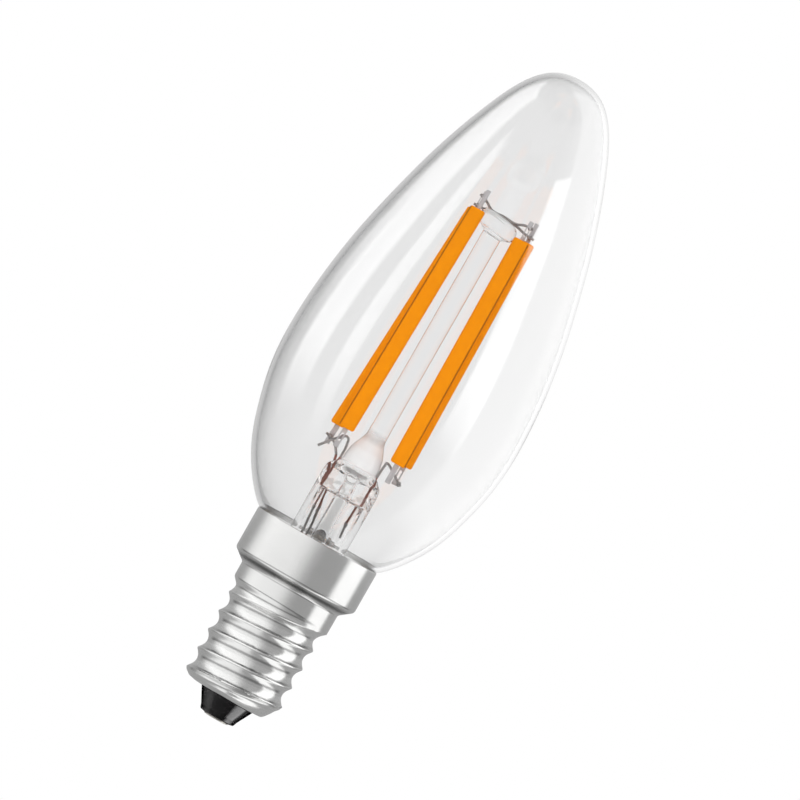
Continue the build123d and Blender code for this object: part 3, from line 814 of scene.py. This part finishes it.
class BULB_OT_cap(bpy.types.Operator):
    """Turn the cap's skin, roll the thread into it and give it the sheet's thickness"""

    bl_idname = "bulb.cap"
    bl_label = "Rolled cap"

    def execute(self, context):
        sizes = context.scene.bulb_cap
        lip = rounded(CAP_LIP)
        neck = rounded(CAP_NECK)
        low = lip[-1][1]
        high = neck[0][1]
        rows = round((high - low) * MM / sizes.ring)
        wall = [(lip[-1][0], low + (high - low) * row / rows) for row in range(1, rows)]
        coarse = lip + wall + neck
        outline = []
        for start, end in zip(coarse, coarse[1:]):
            outline.append(start)
            pieces = max(1, round(math.dist(start, end) * MM / sizes.ring)) if start[1] < FINE_BELOW else 1
            for part in range(1, pieces):
                share = part / pieces
                radius = start[0] + (end[0] - start[0]) * share
                outline.append((radius, start[1] + (end[1] - start[1]) * share))
        outline.append(neck[-1])
        piece = draw_outline("rolled_cap", outline)
        spin_round(piece, CAP_FACETS)
        for vertex in piece.data.vertices:
            turn = math.atan2(vertex.co.y, vertex.co.x) / math.tau % 1.0
            radius = math.hypot(vertex.co.x, vertex.co.y)
            vertex.co.z += sizes.lift * lip_lift(turn, radius, vertex.co.z)
            climb = (vertex.co.z - sizes.first_crest) / sizes.pitch - turn
            share = groove_share(math.floor(climb) + turn, vertex.co.z)
            from_crest = math.hypot(0.5 - abs(0.5 - climb % 1.0), CREST_ROUND)
            drop = sizes.depth * share * (1 - max(0.0, 1 - 2 * from_crest) ** sizes.roundness)
            vertex.co.x *= 1 - drop / radius
            vertex.co.y *= 1 - drop / radius
        thicken(piece, sizes.sheet)
        hand_over(piece, MATERIALS["nickel_plate"], ["cap_shell"])
        return {"FINISHED"}


class BULB_OT_foot(bpy.types.Operator):
    """Turn the insulator and the centre contact"""

    bl_idname = "bulb.foot"
    bl_label = "Insulator and contact"

    def execute(self, context):
        outline = rounded(INSULATOR_OUTLINE)
        insulator = draw_outline("foot_insulator", outline + outline[:1])
        spin_round(insulator, INSULATOR_FACETS)
        hand_over(insulator, MATERIALS["black_insulator"], ["cap_insulator"])
        contact = draw_outline("contact_button", rounded(CONTACT_OUTLINE))
        spin_round(contact, CONTACT_FACETS)
        hand_over(contact, MATERIALS["contact_nickel"], ["centre_contact"])
        return {"FINISHED"}


class BULB_OT_filaments(bpy.types.Operator):
    """Extrude the four coated strips and the tabs at both ends of each"""

    bl_idname = "bulb.filaments"
    bl_label = "Filaments"

    def execute(self, context):
        sizes = context.scene.bulb_filaments
        width = sizes.width / MM
        depth = sizes.depth / MM
        for name, (foot, top, slotted) in FILAMENTS.items():
            strip = draw_bar("strip_" + name, foot, top, width, depth, STRIP_CORNER, STRIP_RIMS)
            hand_over(strip, MATERIALS["phosphor_coat"], ["filament_" + name])
            course = (Vector(top) - Vector(foot)).normalized()
            reach = course * (sizes.tab / MM)
            ends = {"lower": (Vector(foot), -reach), "upper": (Vector(top), reach)}
            for end, (root, away) in ends.items():
                tab_name = "tab_" + end + "_" + name
                tab = draw_bar(tab_name, root, root + away, TAB_WIDTHS[end], TAB_DEPTH, TAB_CORNER, TAB_RIMS)
                if end == slotted:
                    middle = root + away * SLOT_MIDDLE
                    half = away * SLOT_HALF
                    section = (SLOT_WIDTH, SLOT_DEPTH, SLOT_CORNER, SLOT_RIMS)
                    cut_away(tab, draw_bar("slot_" + name, middle - half, middle + half, *section))
                hand_over(tab, MATERIALS["tab_steel"], [end + "_tab_" + name])
        return {"FINISHED"}


class BULB_OT_wires(bpy.types.Operator):
    """Bend the wires and put the weld knots on them"""

    bl_idname = "bulb.wires"
    bl_label = "Wires"

    def execute(self, context):
        sizes = context.scene.bulb_wires
        for name, (course, slot, knots) in WIRES.items():
            wire = bend_wire("bent_" + name, course, sizes.thickness)
            join_in(wire, [add_knot(place, sizes.knot) for place in knots])
            hand_over(wire, MATERIALS[slot], [name])
        return {"FINISHED"}


class BULB_OT_driver(bpy.types.Operator):
    """Give the cement and the driver in the cap, which stay as CAD nodes, their materials"""

    bl_idname = "bulb.driver"
    bl_label = "Cement and driver"

    def execute(self, context):
        slots = {
            "basing_cement": "basing_cement",
            "driver_board": "circuit_board",
            "smoothing_capacitor": "capacitor_can",
            "bridge_rectifier": "chip_mould",
            "driver_chip": "chip_mould",
            "fuse_resistor": "resistor_coat",
            "live_wire": "nickel_wire",
            "neutral_wire": "nickel_wire",
        }
        for name, slot in slots.items():
            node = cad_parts[name]
            node.data.materials.clear()
            node.data.materials.append(MATERIALS[slot])
        return {"FINISHED"}


# Heights of the floor and of the tent's roof, and the tent's radius
FLOOR = -0.25
ROOF = 1.3
TENT_RADIUS = 0.34

# Reach of a grey ramp: its levels are kept as shares of this
BRIGHTEST = 4.0

# Cards round the bulb: azimuth from the camera's side, + to its right, and brightness
METAL_CARDS = (
    (-180, 0.4), (-128, 0.44), (-119, 0.5), (-110, 0.66), (-102, 0.92), (-89, 1.12), (-81, 1.17),
    (-60, 1.12), (-23, 1.04), (-11, 0.95), (0, 0.76), (11, 0.53), (23, 0.42), (63, 0.42), (72, 1.25),
    (77, 1.32), (109, 1.32), (115, 0.7), (119, 0.45), (180, 0.4),
)
GLASS_FILL = (
    (-180, 0.78), (-166, 0.62), (-154, 0.55), (-146, 0.45), (-140, 0.4), (-132, 0.25), (-128, 0.2),
    (-60, 0.15), (-48, 0.08), (42, 0.08), (66, 0.7), (72, 1.5), (108, 1.6), (120, 1.75), (130, 1.7),
    (140, 1.5), (152, 1.05), (166, 0.92), (180, 0.78),
)
LEFT_BOX = (
    (-180, 0.0), (-116, 0.0), (-114, 1.4), (-86, 2.1), (-84, 0.0), (180, 0.0),
)
LEFT_TOP = (
    (-180, 0.0), (-131, 0.0), (-129, 1.2), (-116, 1.4), (-114, 0.0), (180, 0.0),
)
LEFT_STREAK = (
    (-180, 0.0), (57, 0.0), (59, 2.5), (73, 2.5), (75, 0.0), (180, 0.0),
)
RIGHT_BOX = (
    (-180, 0.0), (45, 0.0), (47, 2.4), (70, 2.4), (72, 0.0), (180, 0.0),
)
STEM_FILL = (
    (-180, 0.95), (180, 0.95),
)
FOOT_CARDS = (
    (-180, 0.3), (-115, 0.5), (-85, 0.9), (-60, 0.3), (55, 0.1), (75, 4.0), (110, 4.0), (120, 0.5),
    (180, 0.3),
)
# The metal's cards by the tilt of the face that mirrors them, in degrees, + upwards, as a factor
METAL_TILTS = (
    (-60, 1.0), (-28, 1.0), (-22, 0.45), (-15, 0.45), (-9, 1.0), (4, 1.0), (9, 1.15), (35, 1.15),
    (39, 0.06), (60, 0.06),
)
# Light that matt surfaces gather from the tent, by azimuth
SOFT_LIGHT = (
    (-180, 1.3), (-120, 1.2), (-50, 1.8), (40, 1.8), (110, 1.1), (180, 1.3),
)

# Heights that keep a card bright from foot to top, and any count of crossings of a glass face
EVERY_HEIGHT = (-0.9, -0.8, 2.0, 2.1)
ANY_CROSSING = (0, 40)

# The picture's width in pixels, the height that the camera looks at, and its shift in pixels, right and up
PICTURE_WIDTH = 800
AIM_HEIGHT = 49 * MM
AIM_SHIFT = (2.0, -0.5)


def card_ring(name, radius, top, ends):
    """A ring of cards round the bulb, from near the floor up, unseen by the camera. No two feet coincide."""
    foot = FLOOR + 0.05 * (0.4 - radius)
    bpy.ops.mesh.primitive_cylinder_add(vertices=96, radius=radius, depth=top - foot, end_fill_type=ends)
    cards = place_mesh((0, 0, (top + foot) / 2))
    rename(cards, name)
    cards.visible_camera = False
    cards.visible_shadow = False
    return cards


def grey_ramp(tree, share, stops):
    """A grey level from (position, level) pairs. A ramp stops at 1, so it holds shares of the brightest."""
    ramp = add_node(tree, "ShaderNodeValToRGB", None, {"Fac": share})
    elements = ramp.color_ramp.elements
    while len(elements) < len(stops):
        elements.new(1.0)
    for element, (position, level) in zip(elements, stops):
        grey = level / BRIGHTEST
        element.position = position
        element.color = (grey, grey, grey, 1)
    return maths(tree, "MULTIPLY", ramp.outputs["Color"], BRIGHTEST)


def sweep_round(tree, place, stops):
    """A grey level that changes with the azimuth, from (azimuth, level) pairs."""
    turned = add_node(tree, "ShaderNodeMapping", {"Rotation": (0, 0, math.radians(90))}, {"Vector": place})
    sweep = add_node(
        tree, "ShaderNodeTexGradient", None, {"Vector": turned.outputs["Vector"]}, gradient_type="RADIAL"
    )
    return grey_ramp(tree, sweep.outputs["Fac"], [((azimuth + 180) / 360, level) for azimuth, level in stops])


def sweep_tilt(tree, place, stops):
    """A grey level by the tilt of the face that would mirror it to the front, from (tilt, level) pairs.

    Behind the bulb the level is at least 1, so that other sides get no wide dark patches.
    """
    ray = add_node(tree, "ShaderNodeVectorMath", None, {0: place}, operation="NORMALIZE")
    along = split(tree, ray.outputs["Vector"])
    length = maths(tree, "SQRT", maths(tree, "MULTIPLY_ADD", along["Y"], -2.0, 2.0))
    share = spread(tree, maths(tree, "DIVIDE", along["Z"], length), -1.0, 1.0)
    level = grey_ramp(tree, share, [((math.sin(math.radians(tilt)) + 1) / 2, level) for tilt, level in stops])
    behind = spread(tree, along["Y"], 0.45, 0.75)
    return maths(tree, "MAXIMUM", level, behind)


def add_cards(
    name, radius, top, stops, heights, receivers, crossings=(0, 3), ends="NOTHING", lean=0.0, tilts=None
):
    """Bright cards that only some pieces mirror, after so many crossings of a glass face.

    Heights are where the cards rise and fall, and lean tilts both edges, higher in front.
    """
    cards = card_ring(name, radius, top, ends)
    material, tree, place = start_material(name)
    material.cycles.emission_sampling = "NONE"
    level = sweep_round(tree, place, stops)
    at = split(tree, place)
    height = maths(tree, "MULTIPLY_ADD", at["Y"], lean, at["Z"])
    foot, low, high, head = heights
    path = add_node(tree, "ShaderNodeLightPath").outputs
    middle = sum(crossings) / 2
    shares = [
        spread(tree, height, foot, low),
        spread(tree, height, high, head, 1.0, 0.0),
        maths(tree, "COMPARE", path["Transmission Depth"], middle, crossings[1] - middle + 0.4),
        maths(tree, "GREATER_THAN", path["Glossy Depth"], 0.5),
    ]
    if tilts:
        shares.append(sweep_tilt(tree, place, tilts))
    for share in shares:
        level = maths(tree, "MULTIPLY", level, share)
    shine = add_node(tree, "ShaderNodeEmission", None, {"Strength": level}).outputs["Emission"]
    clear = add_node(tree, "ShaderNodeBsdfTransparent").outputs["BSDF"]
    both = add_node(tree, "ShaderNodeAddShader", None, {0: shine, 1: clear})
    add_node(tree, "ShaderNodeOutputMaterial", None, {"Surface": both.outputs["Shader"]})
    cards.data.materials.append(material)
    group = bpy.data.collections.new(name + "_lit")
    for piece in receivers:
        group.objects.link(piece)
    cards.light_linking.receiver_collection = group


def add_tent(name, radius):
    """A tent, dark in mirrors and softly lit for matt surfaces. Light straight through glass misses it."""
    tent = card_ring(name, radius, ROOF, "NGON")
    material, tree, place = start_material(name)
    material.cycles.emission_sampling = "NONE"
    soft = sweep_round(tree, place, SOFT_LIGHT)
    path = add_node(tree, "ShaderNodeLightPath").outputs
    matt = maths(tree, "GREATER_THAN", path["Diffuse Depth"], 0.5)
    level = maths(tree, "MULTIPLY", soft, matt)
    shine = add_node(tree, "ShaderNodeEmission", None, {"Strength": level}).outputs["Emission"]
    clear = add_node(tree, "ShaderNodeBsdfTransparent").outputs["BSDF"]
    bounced = maths(tree, "ADD", path["Glossy Depth"], path["Diffuse Depth"])
    seen = maths(tree, "GREATER_THAN", bounced, 0.5)
    mixed = add_node(tree, "ShaderNodeMixShader", None, {0: seen, 1: clear, 2: shine})
    add_node(tree, "ShaderNodeOutputMaterial", None, {"Surface": mixed.outputs["Shader"]})
    tent.data.materials.append(material)


class BULB_OT_stage(bpy.types.Operator):
    """Set the camera, the white surround, the floor, the dark tent and the bright cards"""

    bl_idname = "bulb.stage"
    bl_label = "Stage"

    def execute(self, context):
        scene = context.scene
        settings = scene.bulb_stage
        scene.view_settings.view_transform = "Standard"
        scene.cycles.max_bounces = 32
        scene.cycles.transmission_bounces = 32
        scene.cycles.glossy_bounces = 12
        scene.cycles.transparent_max_bounces = 24

        bpy.ops.object.camera_add()
        camera = context.object
        turn = Euler((math.pi / 2, 0, 0)).to_matrix() @ Euler((0, 0, settings.roll)).to_matrix()
        right = turn @ Vector((1, 0, 0))
        up = turn @ Vector((0, 1, 0))
        pixel = settings.frame_width / PICTURE_WIDTH
        aim = Vector((0, 0, AIM_HEIGHT)) + right * (AIM_SHIFT[0] * pixel) + up * (AIM_SHIFT[1] * pixel)
        camera.location = aim - Vector((0, settings.distance, 0))
        camera.rotation_euler = turn.to_euler()
        camera.data.lens = camera.data.sensor_width * settings.distance / settings.frame_width
        scene.camera = camera

        world = bpy.data.worlds.new("white_surround")
        scene.world = world
        world.use_nodes = True
        world.cycles.sampling_method = "NONE"
        tree = world.node_tree
        tree.nodes.clear()
        path = add_node(tree, "ShaderNodeLightPath").outputs
        seen = maths(tree, "MAXIMUM", path["Is Camera Ray"], path["Is Glossy Ray"])
        seen = maths(tree, "MAXIMUM", seen, path["Is Transmission Ray"])
        level = spread(tree, seen, 0.0, 1.0, 0.8, 1.0)
        shine = add_node(tree, "ShaderNodeBackground", {"Color": (1, 1, 1, 1)}, {"Strength": level})
        add_node(tree, "ShaderNodeOutputWorld", None, {"Surface": shine.outputs["Background"]})

        bpy.ops.mesh.primitive_plane_add(size=4.0)
        floor = place_mesh((0, 0, FLOOR))
        rename(floor, "floor")
        floor.data.materials.append(drifting("pale_floor", "EDEDEC", "F2F2F1", 60.0, (0.8, 0.9), 0.0, {}))

        glass = [bpy.data.objects["glass_bulb"], bpy.data.objects["stem_glass"]]
        metal = [bpy.data.objects["rolled_cap"], bpy.data.objects["contact_button"]]
        foot = [bpy.data.objects["foot_insulator"], bpy.data.objects["contact_button"]]
        add_tent("dark_tent", TENT_RADIUS)
        add_cards(
            "metal_cards", 0.32, 0.4, METAL_CARDS, EVERY_HEIGHT, metal,
            crossings=ANY_CROSSING, ends="NGON", tilts=METAL_TILTS,
        )
        add_cards("foot_cards", 0.15, -0.05, FOOT_CARDS, (-0.9, -0.8, -0.1, -0.05), foot)
        add_cards("glass_fill", 0.31, 0.85, GLASS_FILL, (-0.33, -0.1, 2.0, 2.1), glass, ends="NGON")
        add_cards("right_box", 0.3, 0.4, RIGHT_BOX, (-0.05, 0.06, 0.275, 0.28), glass, lean=0.17)
        add_cards("left_box", 0.29, 0.4, LEFT_BOX, (-0.06, 0.06, 0.4, 0.42), glass)
        add_cards("left_top", 0.28, 0.4, LEFT_TOP, (0.06, 0.16, 0.4, 0.42), glass)
        # Mirrored in the back wall: after 4 to 6 crossings. The stem's own mirrors come after 6 or more
        add_cards("left_streak", 0.27, 0.25, LEFT_STREAK, (-0.115, -0.09, 0.03, 0.2), glass, (4, 6))
        add_cards("stem_fill", 0.26, 0.85, STEM_FILL, EVERY_HEIGHT, glass, (6, 40))
        return {"FINISHED"}


STEPS = (
    BULB_OT_glass,
    BULB_OT_stem,
    BULB_OT_cap,
    BULB_OT_foot,
    BULB_OT_filaments,
    BULB_OT_wires,
    BULB_OT_driver,
    BULB_OT_stage,
)

GROUPS = {
    "bulb_glass": GlassSizes,
    "bulb_stem": StemSizes,
    "bulb_cap": CapSizes,
    "bulb_filaments": FilamentSizes,
    "bulb_wires": WireSizes,
    "bulb_stage": StageSettings,
}


class BULB_PT_pieces(bpy.types.Panel):
    """The pieces of the bulb, in the order they are made"""

    bl_idname = "BULB_PT_pieces"
    bl_label = "Candle bulb"
    bl_space_type = "VIEW_3D"
    bl_region_type = "UI"
    bl_category = "Candle bulb"

    def draw(self, context):
        for step in STEPS:
            self.layout.operator(step.bl_idname)


def register():
    """Register the property groups, the operators and the panel."""
    for name, group in GROUPS.items():
        bpy.utils.register_class(group)
        setattr(bpy.types.Scene, name, bpy.props.PointerProperty(type=group))
    for step in STEPS:
        bpy.utils.register_class(step)
    bpy.utils.register_class(BULB_PT_pieces)


def unregister():
    """Take back all that register() added."""
    bpy.utils.unregister_class(BULB_PT_pieces)
    for step in reversed(STEPS):
        bpy.utils.unregister_class(step)
    for name, group in reversed(GROUPS.items()):
        delattr(bpy.types.Scene, name)
        bpy.utils.unregister_class(group)


def main():
    """Make every piece in order."""
    register()
    MATERIALS.update(make_materials())
    bpy.ops.bulb.glass()
    bpy.ops.bulb.stem()
    bpy.ops.bulb.cap()
    bpy.ops.bulb.foot()
    bpy.ops.bulb.filaments()
    bpy.ops.bulb.wires()
    bpy.ops.bulb.driver()
    bpy.ops.bulb.stage()


if __name__ == "__main__":
    main()
